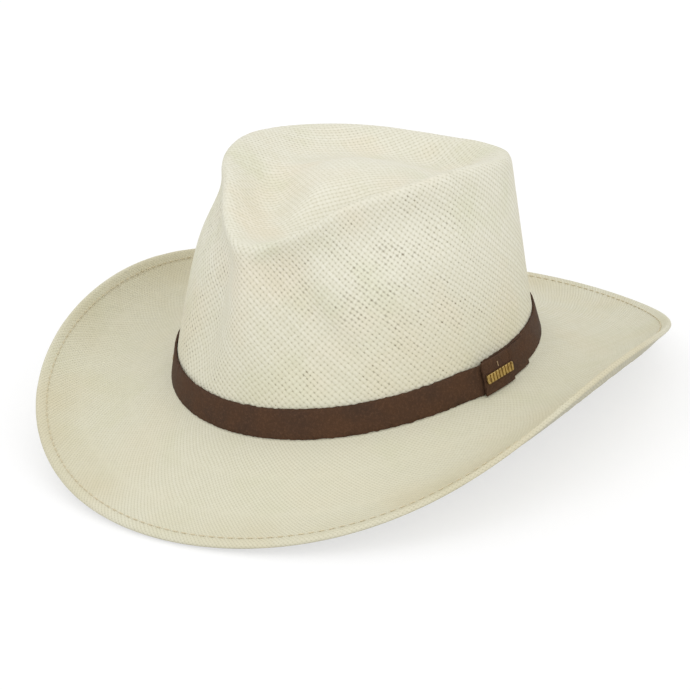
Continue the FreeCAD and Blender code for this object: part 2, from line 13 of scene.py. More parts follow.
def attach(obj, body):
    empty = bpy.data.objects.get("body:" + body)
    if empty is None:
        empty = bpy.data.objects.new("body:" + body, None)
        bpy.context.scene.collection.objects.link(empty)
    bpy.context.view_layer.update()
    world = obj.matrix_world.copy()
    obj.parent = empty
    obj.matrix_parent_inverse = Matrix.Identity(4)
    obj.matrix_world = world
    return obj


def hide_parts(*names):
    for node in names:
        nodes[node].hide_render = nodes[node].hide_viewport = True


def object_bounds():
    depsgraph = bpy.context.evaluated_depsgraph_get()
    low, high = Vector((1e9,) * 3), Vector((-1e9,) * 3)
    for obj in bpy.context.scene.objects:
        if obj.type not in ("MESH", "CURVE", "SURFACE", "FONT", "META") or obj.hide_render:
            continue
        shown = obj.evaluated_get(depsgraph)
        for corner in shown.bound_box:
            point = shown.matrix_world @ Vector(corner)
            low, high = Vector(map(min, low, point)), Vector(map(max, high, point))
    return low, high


MM = 0.001
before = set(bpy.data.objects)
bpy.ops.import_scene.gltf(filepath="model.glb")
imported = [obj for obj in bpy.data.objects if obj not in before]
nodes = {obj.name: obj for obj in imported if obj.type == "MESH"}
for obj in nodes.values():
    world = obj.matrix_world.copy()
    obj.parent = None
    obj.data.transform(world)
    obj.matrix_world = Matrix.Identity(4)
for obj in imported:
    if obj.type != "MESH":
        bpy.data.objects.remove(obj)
cad_box = [list(corner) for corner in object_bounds()]

# grid of the straw: columns go round the hat, rows from the middle of the top to the sewn end of the hem
COLUMNS = 288
TOP_ROWS = 34
WALL_ROWS = 44
BRIM_ROWS = 52
HEM_ROWS = 22
FOOT_ROW = TOP_ROWS + WALL_ROWS
EDGE_ROW = FOOT_ROW + BRIM_ROWS
LAST_ROW = EDGE_ROW + HEM_ROWS
STRAW_THICKNESS = 1.0 * MM

# reading the CAD surface
MERGE_DISTANCE = 1e-7  # vertices this close count as one
PLANE_SLACK = 1e-9  # a vertex this near the cutting plane counts as above it
HEM_SLACK = 1e-5  # the hem may come this much nearer to the edge before it ends
CENTRE_REACH = 0.4 * MM  # the grid starts this far from the axis
LEAST_CREST_REACH = 56.0 * MM  # the crest is at least this far out
SMOOTHED_COLUMNS = 4  # width over which the crest and the foot are evened out
STITCH_GAP = math.radians(0.4)  # a gap wider than this ends a hem stitch

# weave: the top, the wall and three rings of the brim, the last one with the hem
ZONE_EDGES = (0, TOP_ROWS, FOOT_ROW, FOOT_ROW + 17, FOOT_ROW + 35, LAST_ROW)
ZONE_PITCHES = (2.2 * MM, 2.35 * MM, 1.6 * MM, 1.6 * MM, 1.6 * MM)
BLEND_ROWS = 1.5  # rows on each side of a zone's edge over which the next one takes over
TOP_SLANT = math.radians(52)  # turn of the top's strands

# soft marks pressed into the crown: column and row of each point of the mark, its half width and its depth
CROWN_MARKS = (
    # hollow under the crest on the wearer's left, and a shallow one on the right
    (((22, 43), (40, 43), (56, 43)), 12.0 * MM, 2.4 * MM),
    (((COLUMNS - 23, 43), (COLUMNS - 41, 43), (COLUMNS - 57, 43)), 12.0 * MM, 0.8 * MM),
    # crease slanting away from the pinch
    (((6, 40), (13, 50), (25, 62)), 7.0 * MM, 2.2 * MM),
    # dips at the back and the right front of the top
    (((122, 27), (136, 27)), 12.0 * MM, 4.0 * MM),
    (((260, 24), (236, 20)), 11.0 * MM, 2.5 * MM),
)

# strands: heights of the two directions, how far each one weaves up and down, and the seed of its shade
STRAND_LEVELS = (0.62, 0.74)
STRAND_SWAY = 0.2
STRAND_SEED = 7.0

# millimetres between two needle holes of the hem, and radians of weave per metre of label
NEEDLE_STEP = 2.4
LABEL_WEAVE = 9000.0

# uneven edges of the leather strips
FRAY_WELD = 0.01 * MM
FRAY_LEVELS = 2
FRAY_SIZE = 2.0 * MM

# stage
FLOOR_HALF = 6.0
FLOOR_GAP = 1.0 * MM
FLOOR_GLOW = 0.65
WORLD_STRENGTH = 0.94
LIGHT_AIM = Vector((0, 0, 0.04))


# ---- the straw sheet, rebuilt as a clean grid over the CAD surface ----

def cut_surface(vertices, triangles, side):
    """Where the plane through the hat's axis, at right angles to side, cuts the surface.

    Returns the point on every cut edge and, for every cut edge, the edges next to it.
    """
    height = vertices @ side
    height = np.where(np.abs(height) < PLANE_SLACK, PLANE_SLACK, height)
    above = height > 0
    corners = above[triangles]
    crossing = corners.any(axis=1) & ~corners.all(axis=1)
    crossed = triangles[crossing]
    points = {}
    links = {}
    for starts, ends in zip(crossed, np.roll(crossed, -1, axis=1)):
        keys = []
        for first, second in zip(starts, ends):
            if above[first] == above[second]:
                continue
            low, high = min(first, second), max(first, second)
            share = height[low] / (height[low] - height[high])
            points[low, high] = vertices[low] + (vertices[high] - vertices[low]) * share
            keys.append((low, high))
        links.setdefault(keys[0], []).append(keys[1])
        links.setdefault(keys[1], []).append(keys[0])
    return points, links


def profile(vertices, triangles, angle):
    """The hat's outline in one half plane: reach and height, in order from the outer side of the top."""
    out = np.array([math.sin(angle), -math.cos(angle), 0.0])
    side = np.array([math.cos(angle), math.sin(angle), 0.0])
    points, links = cut_surface(vertices, triangles, side)
    # the plane cuts both halves of the hat: start at the highest crossing of the axis and walk outwards
    over_axis = [
        (key, other) for key, others in links.items() for other in others
        if points[key] @ out < 0 <= points[other] @ out]
    before, here = max(over_axis, key=lambda pair: points[pair[0]][2])
    line = [points[before], points[here]]
    while True:
        ahead = [key for key in links[here] if key != before]
        if not ahead or points[ahead[0]] @ out < 0:
            break
        before, here = here, ahead[0]
        line.append(points[here])
    line = np.array(line)
    return np.stack([line @ out, line[:, 2]], axis=1)


def lengths_along(line):
    """Length along a line up to each of its points."""
    steps = np.linalg.norm(np.diff(line, axis=0), axis=1)
    return np.concatenate([[0.0], np.cumsum(steps)])


def landmarks(line):
    """Indexes of the crest, the foot of the wall, the brim's edge and the hem's sewn end."""
    edge = int(np.argmax(line[:, 0]))
    crest = int(np.argmax(line[:edge, 1] * (line[:edge, 0] > LEAST_CREST_REACH)))
    chord = line[edge] - line[crest]
    normal = np.array([chord[1], -chord[0]]) / np.linalg.norm(chord)
    foot = crest + int(np.argmax(np.abs((line[crest:edge] - line[crest]) @ normal)))
    # the hem ends where the outline turns back and starts to come nearer to the edge again
    after = np.linalg.norm(line[edge:] - line[edge], axis=1)
    end = edge
    while end + 1 < len(line) and after[end + 1 - edge] >= after[end - edge] - HEM_SLACK:
        end += 1
    return crest, foot, edge, end


def landmark_lengths(line):
    """Lengths along the line at which the grid's four stretches begin, and where the last one ends."""
    length = lengths_along(line)
    beyond = int(np.argmax(line[:, 0] > CENTRE_REACH)) + 1
    start = np.interp(CENTRE_REACH, line[:beyond, 0], length[:beyond])
    return [start, *length[list(landmarks(line))]]


def smooth_round(values, width):
    """Values round the hat, evened out over a few neighbouring columns."""
    steps = np.arange(-3 * width, 3 * width + 1)
    weights = np.exp(-0.5 * (steps / width) ** 2)
    weights /= weights.sum()
    return sum(weight * np.roll(values, step, axis=0) for weight, step in zip(weights, steps))


def rows_along(stops):
    """Lengths at which a column has its rows, given the lengths at its five landmarks."""
    parts = []
    for first, last, count in zip(stops, stops[1:], (TOP_ROWS, WALL_ROWS, BRIM_ROWS, HEM_ROWS)):
        parts.append(np.linspace(first, last, count + 1)[:-1])
    return np.concatenate(parts + [stops[-1:]])


def column_turns(count):
    """Turn of the first columns of the grid from the front, towards the wearer's left."""
    return 2 * math.pi * (np.arange(count) + 0.5) / COLUMNS


def welded_straw():
    """Vertices and triangles of the CAD straw body, with vertices in one place merged."""
    mesh = nodes["straw_body"].data
    mesh.calc_loop_triangles()
    vertices = np.array([vertex.co for vertex in mesh.vertices], float)
    triangles = np.array([triangle.vertices for triangle in mesh.loop_triangles])
    keys = np.round(vertices / MERGE_DISTANCE).astype(np.int64)
    _, first, inverse = np.unique(keys, axis=0, return_index=True, return_inverse=True)
    return vertices[first], inverse.ravel()[triangles]


def straw_grid():
    """Grid of points on the outer side of the straw: columns round the hat, rows from the top to the hem."""
    vertices, triangles = welded_straw()
    angles = column_turns(COLUMNS)
    lines = [profile(vertices, triangles, angle) for angle in angles]
    stops = np.array([landmark_lengths(line) for line in lines])
    # only the crest and the foot are found unevenly from column to column
    stops[:, 1:3] = smooth_round(stops[:, 1:3], SMOOTHED_COLUMNS)
    grid = []
    for angle, line, column_stops in zip(angles, lines, stops):
        length = lengths_along(line)
        wanted = rows_along(column_stops)
        reach = np.interp(wanted, length, line[:, 0])
        height = np.interp(wanted, length, line[:, 1])
        grid.append(np.stack([reach * math.sin(angle), -reach * math.cos(angle), height], axis=1))
    return np.array(grid)


def distance_from_segment(points, first, last):
    """Distance of every point from the straight piece between two places."""
    along = last - first
    share = np.clip((points - first) @ along / (along @ along), 0, 1)
    return np.linalg.norm(points - first - share[..., None] * along, axis=2)


def press_marks(grid):
    """Grid with the soft hollows and the slanting crease of a hand-shaped crown pressed in."""
    around = np.roll(grid, -1, axis=0) - np.roll(grid, 1, axis=0)
    inward = np.cross(around, np.gradient(grid, axis=1))
    inward /= np.linalg.norm(inward, axis=2)[..., None]
    pressed = grid.copy()
    for places, half_width, depth in CROWN_MARKS:
        line = [grid[place] for place in places]
        away = np.min([distance_from_segment(grid, *ends) for ends in zip(line, line[1:])], axis=0)
        pressed += inward * (depth * np.exp(-(away / half_width) ** 2))[..., None]
    return pressed


# ---- what the straw material reads from the grid ----

def closed_round(grid):
    """Grid with its first column once more at the end."""
    return np.concatenate([grid, grid[:1]])


def grid_lengths(grid):
    """Length of each row, and each point's share of its row and length down its column."""
    around = np.linalg.norm(np.roll(grid, -1, axis=0) - grid, axis=2)
    row_length = around.sum(axis=0)
    share = np.concatenate([np.zeros((1, LAST_ROW + 1)), np.cumsum(around, axis=0)]) / row_length
    down = np.linalg.norm(np.diff(grid, axis=1), axis=2)
    depth = np.concatenate([np.zeros((COLUMNS, 1)), np.cumsum(down, axis=1)], axis=1)
    return row_length, share, closed_round(depth)


def flat_strands(grid, pitch):
    """Strand coordinates of the crown's top, which is woven as a flat mat on the bias."""
    closed = closed_round(grid)
    first = closed[..., 0] * math.cos(TOP_SLANT) + closed[..., 1] * math.sin(TOP_SLANT)
    second = closed[..., 1] * math.cos(TOP_SLANT) - closed[..., 0] * math.sin(TOP_SLANT)
    return np.stack([first, second], axis=2) / pitch


def round_strands(lengths, middle_row, pitch):
    """Strand coordinates of a ring: strands run diagonally, and a whole even number goes round."""
    row_length, share, depth = lengths
    count = 2 * round(row_length[middle_row] / (2 * math.sqrt(2) * pitch))
    cell = row_length[middle_row] / count
    across = share * count
    along = depth / cell
    return np.stack([across + along, across - along], axis=2)


def strand_maps(grid):
    """Two sets of strand coordinates that take turns, zone by zone, and the blend between them.

    Straw is added as the hat widens, so each zone has its own number of strands.
    """
    lengths = grid_lengths(grid)
    rows = np.arange(LAST_ROW + 1)
    middles = [(first + last) // 2 for first, last in zip(ZONE_EDGES, ZONE_EDGES[1:])]
    maps = [np.zeros((COLUMNS + 1, len(rows), 2)) for _ in range(2)]
    for zone, (middle, pitch) in enumerate(zip(middles, ZONE_PITCHES)):
        first = middles[zone - 1] if zone else 0
        last = middles[zone + 1] if zone + 1 < len(middles) else len(rows)
        strands = round_strands(lengths, middle, pitch) if zone else flat_strands(grid, pitch)
        maps[zone % 2][:, first:last] = strands[:, first:last]
    blend = np.zeros(len(rows))
    for index, edge in enumerate(ZONE_EDGES[1:-1]):
        step = np.clip((rows - edge) / (2 * BLEND_ROWS) + 0.5, 0, 1)
        blend += step if index % 2 == 0 else -step
    return maps, blend


def ramp(values, *stops):
    """Numbers that change evenly from stop to stop. Each stop is a value and its number."""
    places, numbers = zip(*stops)
    return np.interp(values, places, numbers)


def openness():
    """How open the weave is: most on the front and side walls and the far rim of the top, least behind."""
    rows = np.arange(LAST_ROW + 1)
    turn = np.degrees(column_turns(COLUMNS))
    from_front = np.minimum(turn, 360 - turn)
    wall_round = ramp(from_front, (0, 0.6), (20, 0.95), (45, 1.0), (80, 0.9), (110, 0.4), (180, 0.3))
    wall_down = ramp(
        rows, (TOP_ROWS - 4, 0.0), (TOP_ROWS + 6, 1.0), (FOOT_ROW - 10, 0.95), (FOOT_ROW, 0.3),
        (FOOT_ROW + 20, 0.3), (LAST_ROW + 1, 0.6))
    top_round = ramp(from_front, (0, 0.2), (45, 0.3), (80, 1.0), (180, 0.8))
    top_down = ramp(
        rows, (TOP_ROWS * 0.5, 0.15), (TOP_ROWS * 0.72, 0.7), (TOP_ROWS - 4, 0.8), (TOP_ROWS + 6, 0.0))
    return np.outer(wall_round, wall_down) + np.outer(top_round, top_down)


def masks_of(blend):
    """Blend and openness, then brim share and relief, for every grid point.

    The brim share rises from 0 to 1 down the crown's wall, stays 1 on the brim and is 2 on the folded hem;
    it sets where the straw is painted with shade.
    """
    rows = np.arange(LAST_ROW + 1)
    # painted shade: the brim share darkens the foot of the wall and the brim, and greys the folded hem on
    # the underside
    brim = ramp(
        rows, (FOOT_ROW - 30, 0.0), (FOOT_ROW - 6, 0.75), (FOOT_ROW + 1, 1.0), (EDGE_ROW, 1.0),
        (EDGE_ROW + 5, 2.0))
    relief = ramp(
        rows, (0, 0.5), (TOP_ROWS - 4, 0.8), (TOP_ROWS + 4, 1.3), (FOOT_ROW - 6, 1.2), (FOOT_ROW + 2, 0.6),
        (LAST_ROW + 1, 0.9))
    flat = np.ones((COLUMNS + 1, 1))
    masks = np.stack([flat * blend, closed_round(openness())], axis=2)
    tones = np.stack([flat * brim, flat * relief], axis=2)
    return masks, tones


def stitch_middles(turn):
    """Turn of the middle of every hem stitch, given the turn of every vertex of the thread."""
    places = np.sort(turn)
    apart = np.diff(places) > STITCH_GAP
    starts = np.concatenate([places[:1], places[1:][apart]])
    ends = np.concatenate([places[:-1][apart], places[-1:]])
    return (starts + ends) / 2


def hem_positions(grid):
    """Place of every grid point along the row of hem stitches, and its distance from that row.

    The place is counted in stitches and the distance is in millimetres, positive outwards.
    """
    mesh = nodes["brim_hem_thread"].data
    thread = np.array([vertex.co for vertex in mesh.vertices], float)
    turn = np.arctan2(thread[:, 0], -thread[:, 1])
    middles = stitch_middles(turn)
    count = len(middles)
    column_turn = (column_turns(COLUMNS + 1) + math.pi) % (2 * math.pi) - math.pi
    wide = np.concatenate([middles[-1:] - 2 * math.pi, middles, middles[:1] + 2 * math.pi])
    index = np.interp(column_turn, wide, np.arange(-1, count + 1))
    # past the back of the hat the count goes on instead of starting again
    jump = int(np.argmin(np.diff(index))) + 1
    index[jump:] += count
    order = np.argsort(turn)
    thread_reach = np.interp(column_turn, turn[order], np.linalg.norm(thread[order, :2], axis=1))
    distance = (np.linalg.norm(closed_round(grid)[..., :2], axis=2) - thread_reach[:, None]) / MM
    place = np.repeat(index[:, None], LAST_ROW + 1, axis=1)
    return np.stack([place, distance], axis=2)


def grid_mesh(name, grid, layers):
    """Mesh of the straw sheet. Every layer holds two numbers for each corner of the grid."""
    columns, rows = grid.shape[:2]
    centre = np.array([[0, 0, grid[:, 0, 2].mean()]])
    vertices = np.concatenate([grid.reshape(-1, 3), centre])
    faces = []
    corners = []
    for column in range(columns):
        after = (column + 1) % columns
        for row in range(rows - 1):
            first = column * rows + row
            second = after * rows + row
            faces.append((first, first + 1, second + 1, second))
            corners.extend([(column, row), (column, row + 1), (column + 1, row + 1), (column + 1, row)])
        faces.append((columns * rows, column * rows, after * rows))
        corners.extend([(column, 0), (column, 0), (column + 1, 0)])
    mesh = bpy.data.meshes.new(name)
    mesh.from_pydata(vertices.tolist(), [], faces)
    corners = np.array(corners)
    for layer_name, values in layers.items():
        layer = mesh.uv_layers.new(name=layer_name)
        layer.data.foreach_set("uv", values[corners[:, 0], corners[:, 1]].astype(np.float32).ravel())
    mesh.polygons.foreach_set("use_smooth", np.ones(len(faces), bool))
    return mesh


# ---- node helpers ----

class Nodes:
    """Short spellings for the few node kinds used here."""

    def __init__(self, tree):
        self.tree = tree

    def add(self, kind, **settings):
        """New node with its settings."""
        node = self.tree.nodes.new(kind)
        for key, value in settings.items():
            setattr(node, key, value)
        return node

    def put(self, socket, value):
        """Feeds a socket from another node's output, or gives it a plain value."""
        if isinstance(value, bpy.types.NodeSocket):
            self.tree.links.new(value, socket)
        else:
            socket.default_value = value

    def math(self, operation, *values):
        """One step of arithmetic."""
        node = self.add("ShaderNodeMath", operation=operation)
        for socket, value in zip(node.inputs, values):
            self.put(socket, value)
        return node.outputs[0]

    def times(self, first, second):
        """Product of two values."""
        return self.math("MULTIPLY", first, second)

    def mix(self, share, first, second):
        """Colour between two colours, which this node takes at inputs 6 and 7."""
        node = self.add("ShaderNodeMix", data_type="RGBA")
        self.put(node.inputs[0], share)
        self.put(node.inputs[6], first)
        self.put(node.inputs[7], second)
        return node.outputs[2]

    def blend(self, share, first, second):
        """Number between two numbers, which this node takes at inputs 2 and 3."""
        node = self.add("ShaderNodeMix", data_type="FLOAT")
        self.put(node.inputs[0], share)
        self.put(node.inputs[2], first)
        self.put(node.inputs[3], second)
        return node.outputs[0]

    def noise(self, vector, scale, detail, roughness=0.55):
        """Cloudy noise from 0 to 1, with its scale in clouds per metre."""
        node = self.add("ShaderNodeTexNoise")
        self.put(node.inputs["Vector"], vector)
        node.inputs["Scale"].default_value = scale
        node.inputs["Detail"].default_value = detail
        node.inputs["Roughness"].default_value = roughness
        return node.outputs["Fac"]

    def spread(self, value, low, high, new_low=0.0, new_high=1.0, smooth=True):
        """Value stretched from one range to another and held at its ends."""
        node = self.add("ShaderNodeMapRange", interpolation_type="SMOOTHSTEP" if smooth else "LINEAR")
        for socket, number in zip(node.inputs, (value, low, high, new_low, new_high)):
            self.put(socket, number)
        return node.outputs[0]

    def position(self):
        """Place on the piece, in metres."""
        return self.add("ShaderNodeTexCoord").outputs["Object"]

    def split(self, vector):
        """The three parts of a vector."""
        node = self.add("ShaderNodeSeparateXYZ")
        self.put(node.inputs[0], vector)
        return node.outputs[:3]

    def layer(self, name):
        """The two numbers of a layer that the straw mesh carries."""
        first, second, _ = self.split(self.add("ShaderNodeUVMap", uv_map=name).outputs[0])
        return first, second

    def random(self, x, y):
        """Number from 0 to 1 that stays the same for the same two inputs."""
        pair = self.add("ShaderNodeCombineXYZ")
        self.put(pair.inputs[0], x)
        self.put(pair.inputs[1], y)
        node = self.add("ShaderNodeTexWhiteNoise", noise_dimensions="2D")
        self.put(node.inputs["Vector"], pair.outputs[0])
        return node.outputs["Value"]

    def bump(self, height, strength, distance, normal=None):
        """Surface direction bent by a height, on top of an earlier bump where there is one."""
        node = self.add("ShaderNodeBump")
        node.inputs["Strength"].default_value = strength
        node.inputs["Distance"].default_value = distance
        self.put(node.inputs["Height"], height)
        if normal is not None:
            self.put(node.inputs["Normal"], normal)
        return node.outputs[0]


def new_material(name):
    """New node material, its node helper and its surface shader."""
    material = bpy.data.materials.new(name)
    material.use_nodes = True
    return material, Nodes(material.node_tree), material.node_tree.nodes["Principled BSDF"]


def color(red, green, blue):
    """Colour from sRGB parts of 255."""
    parts = []
    for part in (red, green, blue):
        share = part / 255
        parts.append(share / 12.92 if share <= 0.04045 else ((share + 0.055) / 1.055) ** 2.4)
    return (*parts, 1.0)


def grey(value):
    """Grey of a linear brightness."""
    return (value, value, value, 1.0)


# ---- materials ----

def weave_height(n, p, q):
    """Height of a plain weave of flat strands, the shade of the strand on top and a number for each hole."""
    heights = []
    shades = []
    for along, across, lean, level in ((p, q, 1.0, STRAND_LEVELS[0]), (q, p, -1.0, STRAND_LEVELS[1])):
        strand = n.math("FLOOR", along)
        place = n.math("SUBTRACT", n.math("FRACT", along), 0.5)
        roundness = n.times(n.times(place, place), 4.0)
        section = n.math("SQRT", n.math("MAXIMUM", n.math("SUBTRACT", 1.0, roundness), 0.0))
        parity = n.math("SUBTRACT", 1.0, n.times(n.math("FLOORED_MODULO", strand, 2.0), 2.0))
        wave = n.math("SINE", n.times(across, math.pi))
        lift = n.math("MULTIPLY_ADD", n.times(wave, parity), STRAND_SWAY * lean, level)
        heights.append(n.times(section, lift))
        shades.append(n.random(strand, STRAND_SEED * lean))
    top = n.math("MAXIMUM", *heights)
    over = n.math("GREATER_THAN", *heights)
    chance = n.random(n.math("ROUND", p), n.math("ROUND", q))
    return top, n.blend(over, shades[1], shades[0]), chance


def woven_strands(n, place, blend):
    """Height, strand shade and hole number over the whole hat, from both sets of strand coordinates."""
    wander = [
        n.times(n.math("SUBTRACT", n.noise(place, scale=scale, detail=2.0), 0.5), 0.5)
        for scale in (90.0, 110.0)]
    weaves = []
    for layer in ("strands_a", "strands_b"):
        strands = [n.math("ADD", number, sway) for number, sway in zip(n.layer(layer), wander)]
        weaves.append(weave_height(n, *strands))
    return [n.blend(blend, first, second) for first, second in zip(*weaves)]


def stitch_holes(n):
    """Needle holes at both ends of every hem stitch, from 0 to 1."""
    place, distance = n.layer("hem")
    # two holes to a stitch: place counts stitches, so its double counts holes
    half_stitch = n.math("SUBTRACT", n.math("FRACT", n.times(place, 2.0)), 0.5)
    along = n.times(half_stitch, NEEDLE_STEP)
    reach = n.math("SQRT", n.math("ADD", n.times(along, along), n.times(distance, distance)))
    return n.spread(reach, low=0.5, high=0.2)


def straw_colour(n, place, top, shade, brim, rim):
    """Bleached straw: uneven strands, warm and green patches and a tan rim, with painted shade that darkens
    the brim, greys the hem and darkens the grooves.
    """
    mottle = n.noise(place, scale=14.0, detail=4.0)
    warm = n.spread(n.noise(place, scale=22.0, detail=2.0), low=0.46, high=0.7)
    green = n.spread(n.noise(place, scale=31.0, detail=2.0), low=0.5, high=0.72)
    strand = n.mix(shade, color(208, 204, 178), color(250, 249, 238))
    # painted shade: the folded hem lies on the brim's underside and is painted greyer
    folded = n.spread(brim, low=1.1, high=2.0, new_high=0.55)
    # painted shade in the grooves between strands, where the weave is lowest
    groove_shade = n.spread(top, low=0.2, high=0.84, new_low=0.58, new_high=0.0)
    base = n.mix(mottle, color(236, 233, 217), color(224, 221, 202))
    for share, tone in (
        (n.times(warm, 0.32), color(238, 222, 196)),
        (n.times(green, 0.35), color(216, 217, 186)),
        (0.11, strand),
        # painted shade: the brim and the foot of the wall are painted darker than the crown
        (n.times(n.math("MINIMUM", brim, 1.0), 0.55), color(213, 209, 182)),
        (n.times(rim, 0.35), color(205, 192, 152)),
        (folded, color(190, 188, 172)),
        (groove_shade, color(186, 180, 150)),
    ):
        base = n.mix(share, base, tone)
    return base


def pinholes(n, place, top, chance, open_weave):
    """Where the gaps between strands show as holes, from 0 to 1; these are painted dark as the shade seen
    through them. Some are deeper than others.
    """
    cloud = n.noise(place, scale=42.0, detail=3.0)
    patches = n.spread(cloud, low=0.36, high=0.62, new_low=0.75, new_high=1.25)
    own_size = n.spread(chance, low=0.0, high=1.0, new_low=0.55, new_high=1.3, smooth=False)
    limit = n.math("MULTIPLY_ADD", n.times(open_weave, n.times(patches, own_size)), 0.52, 0.04)
    hole = n.spread(top, low=limit, high=n.times(limit, 0.3))
    deep = n.spread(n.noise(place, scale=130.0, detail=2.0), low=0.54, high=0.66, new_low=0.5)
    return n.times(hole, deep)


def straw_material():
    """Woven palm straw with pinholes between the strands."""
    material, n, shader = new_material("woven_straw")
    place = n.position()
    blend, open_weave = n.layer("masks")
    brim, relief = n.layer("tones")
    _, distance = n.layer("hem")
    top, shade, chance = woven_strands(n, place, blend)
    rim_patches = n.spread(n.noise(place, scale=12.0, detail=2.0), low=0.35, high=0.6)
    rim = n.times(n.spread(distance, low=-30.0, high=-2.0), rim_patches)
    base = straw_colour(n, place, top, shade, brim, rim)
    # painted shade: the pinholes are painted dark brown for the shade seen through them
    base = n.mix(pinholes(n, place, top, chance, open_weave), base, color(106, 92, 64))
    base = n.mix(n.times(stitch_holes(n), 0.55), base, color(140, 114, 74))
    weave_bump = n.bump(n.times(top, relief), strength=0.85, distance=0.5 * MM)
    fibre = n.noise(place, scale=2600.0, detail=2.0)
    n.put(shader.inputs["Base Color"], base)
    n.put(shader.inputs["Normal"], n.bump(fibre, strength=0.12, distance=0.2 * MM, normal=weave_bump))
    n.put(shader.inputs["Roughness"], n.spread(shade, low=0.0, high=1.0, new_low=0.72, new_high=0.5))
    shader.inputs["Specular IOR Level"].default_value = 0.3
    return material


def leather_material(name, dark, light, grain_scale, roughness):
    """Leather with fine grain, uneven dye and pale rubbed spots."""
    material, n, shader = new_material(name)
    place = n.position()
    cells = n.add("ShaderNodeTexVoronoi", feature="DISTANCE_TO_EDGE")
    n.put(cells.inputs["Vector"], place)
    n.put(cells.inputs["Scale"], grain_scale)
    grain = n.spread(cells.outputs["Distance"], low=0.0, high=0.25)
    dye = n.noise(place, scale=70.0, detail=4.0)
    rubbed = n.spread(n.noise(place, scale=800.0, detail=4.0, roughness=0.75), low=0.46, high=0.68)
    base = n.mix(dye, dark, light)
    base = n.mix(n.times(rubbed, 0.25), base, color(122, 88, 66))
    base = n.mix(n.spread(grain, low=0.0, high=0.5, new_low=0.25, new_high=0.0), base, dark)
    relief = n.bump(grain, strength=0.25, distance=0.3 * MM)
    fine = n.noise(place, scale=1500.0, detail=3.0)
    dullness = n.spread(dye, low=0.3, high=0.7, new_low=roughness - 0.08, new_high=roughness + 0.1)
    n.put(shader.inputs["Base Color"], base)
    n.put(shader.inputs["Normal"], n.bump(fine, strength=0.2, distance=0.3 * MM, normal=relief))
    n.put(shader.inputs["Roughness"], dullness)
    shader.inputs["Specular IOR Level"].default_value = 0.25
    return material


def brass_material():
    """Satin brass, slightly tarnished, with painted shade in its hollows."""
    material, n, shader = new_material("satin_brass")
    place = n.position()
    cloud = n.noise(place, scale=400.0, detail=3.0)
    tarnish = n.spread(cloud, low=0.45, high=0.7)
    bright = n.mix(tarnish, color(206, 178, 116), color(158, 128, 76))
    # painted shade: darker where the bar is closed in, as in its flutes
    hollows = n.add("ShaderNodeAmbientOcclusion")
    n.put(hollows.inputs["Distance"], 0.6 * MM)
    shadow = n.spread(hollows.outputs["AO"], low=0.35, high=0.9, new_low=0.85, new_high=0.0)
    fine = n.noise(place, scale=3000.0, detail=2.0)
    n.put(shader.inputs["Base Color"], n.mix(shadow, bright, color(58, 40, 22)))
    n.put(shader.inputs["Roughness"], n.spread(cloud, low=0.3, high=0.7, new_low=0.25, new_high=0.45))
    n.put(shader.inputs["Normal"], n.bump(fine, strength=0.12, distance=0.1 * MM))
    shader.inputs["Metallic"].default_value = 1.0
    return material


def thread_material(name, pale, deep):
    """Cotton thread with fine uneven fibres."""
    material, n, shader = new_material(name)
    fibres = n.noise(n.position(), scale=1800.0, detail=3.0, roughness=0.7)
    n.put(shader.inputs["Base Color"], n.mix(fibres, deep, pale))
    n.put(shader.inputs["Normal"], n.bump(fibres, strength=0.5, distance=0.2 * MM))
    shader.inputs["Roughness"].default_value = 0.75
    return material


def filament_material():
    """Pale nylon with faint cloudiness."""
    material, n, shader = new_material("nylon_filament")
    cloud = n.noise(n.position(), scale=300.0, detail=2.0)
    n.put(shader.inputs["Base Color"], n.mix(cloud, color(232, 232, 222), color(246, 246, 240)))
    n.put(shader.inputs["Roughness"], n.spread(cloud, low=0.3, high=0.7, new_low=0.2, new_high=0.35))
    return material


def label_material():
    """Plain woven label cloth."""
    material, n, shader = new_material("label_cloth")
    _, y, z = n.split(n.position())
    warp = n.math("SINE", n.times(y, LABEL_WEAVE))
    weft = n.math("SINE", n.times(z, LABEL_WEAVE))
    weave = n.math("MULTIPLY_ADD", n.times(warp, weft), 0.5, 0.5)
    n.put(shader.inputs["Base Color"], n.mix(weave, color(222, 216, 198), color(244, 240, 226)))
    n.put(shader.inputs["Normal"], n.bump(weave, strength=0.4, distance=0.2 * MM))
    shader.inputs["Roughness"].default_value = 0.8
    return material


# ---- pieces ----

def make_straw(material):
    """The straw body as one woven sheet with real thickness, folded under at the brim's edge."""
    grid = press_marks(straw_grid())
    (strands_a, strands_b), blend = strand_maps(grid)
    masks, tones = masks_of(blend)
    layers = {
        "strands_a": strands_a, "strands_b": strands_b, "masks": masks, "tones": tones,
        "hem": hem_positions(grid)}
    mesh = grid_mesh("straw_sheet", grid, layers)
    mesh.materials.append(material)
    sheet = bpy.data.objects.new("straw_sheet", mesh)
    bpy.context.scene.collection.objects.link(sheet)
    thicken = sheet.modifiers.new("thickness", "SOLIDIFY")
    thicken.thickness = STRAW_THICKNESS
    thicken.offset = -1.0
    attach(sheet, "root")
    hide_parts("straw_body")


def paint(material, *node_names):
    """Gives CAD nodes their material."""
    for node_name in node_names:
        data = nodes[node_name].data
        data.materials.clear()
        data.materials.append(material)


def fray(node_name, direction, depth):
    """Makes the cut edges of a leather strip slightly uneven, along one axis."""
    strip = nodes[node_name]
    weld = strip.modifiers.new("weld", "WELD")
    weld.merge_threshold = FRAY_WELD
    split = strip.modifiers.new("split", "SUBSURF")
    split.subdivision_type = "SIMPLE"
    split.levels = FRAY_LEVELS
    split.render_levels = FRAY_LEVELS
    cloud = bpy.data.textures.new(f"{node_name}_fray", "CLOUDS")
    cloud.noise_scale = FRAY_SIZE
    cloud.noise_depth = 3
    wobble = strip.modifiers.new("wobble", "DISPLACE")
    wobble.texture = cloud
    wobble.texture_coords = "LOCAL"
    wobble.direction = direction
    wobble.mid_level = 0.5
    wobble.strength = depth


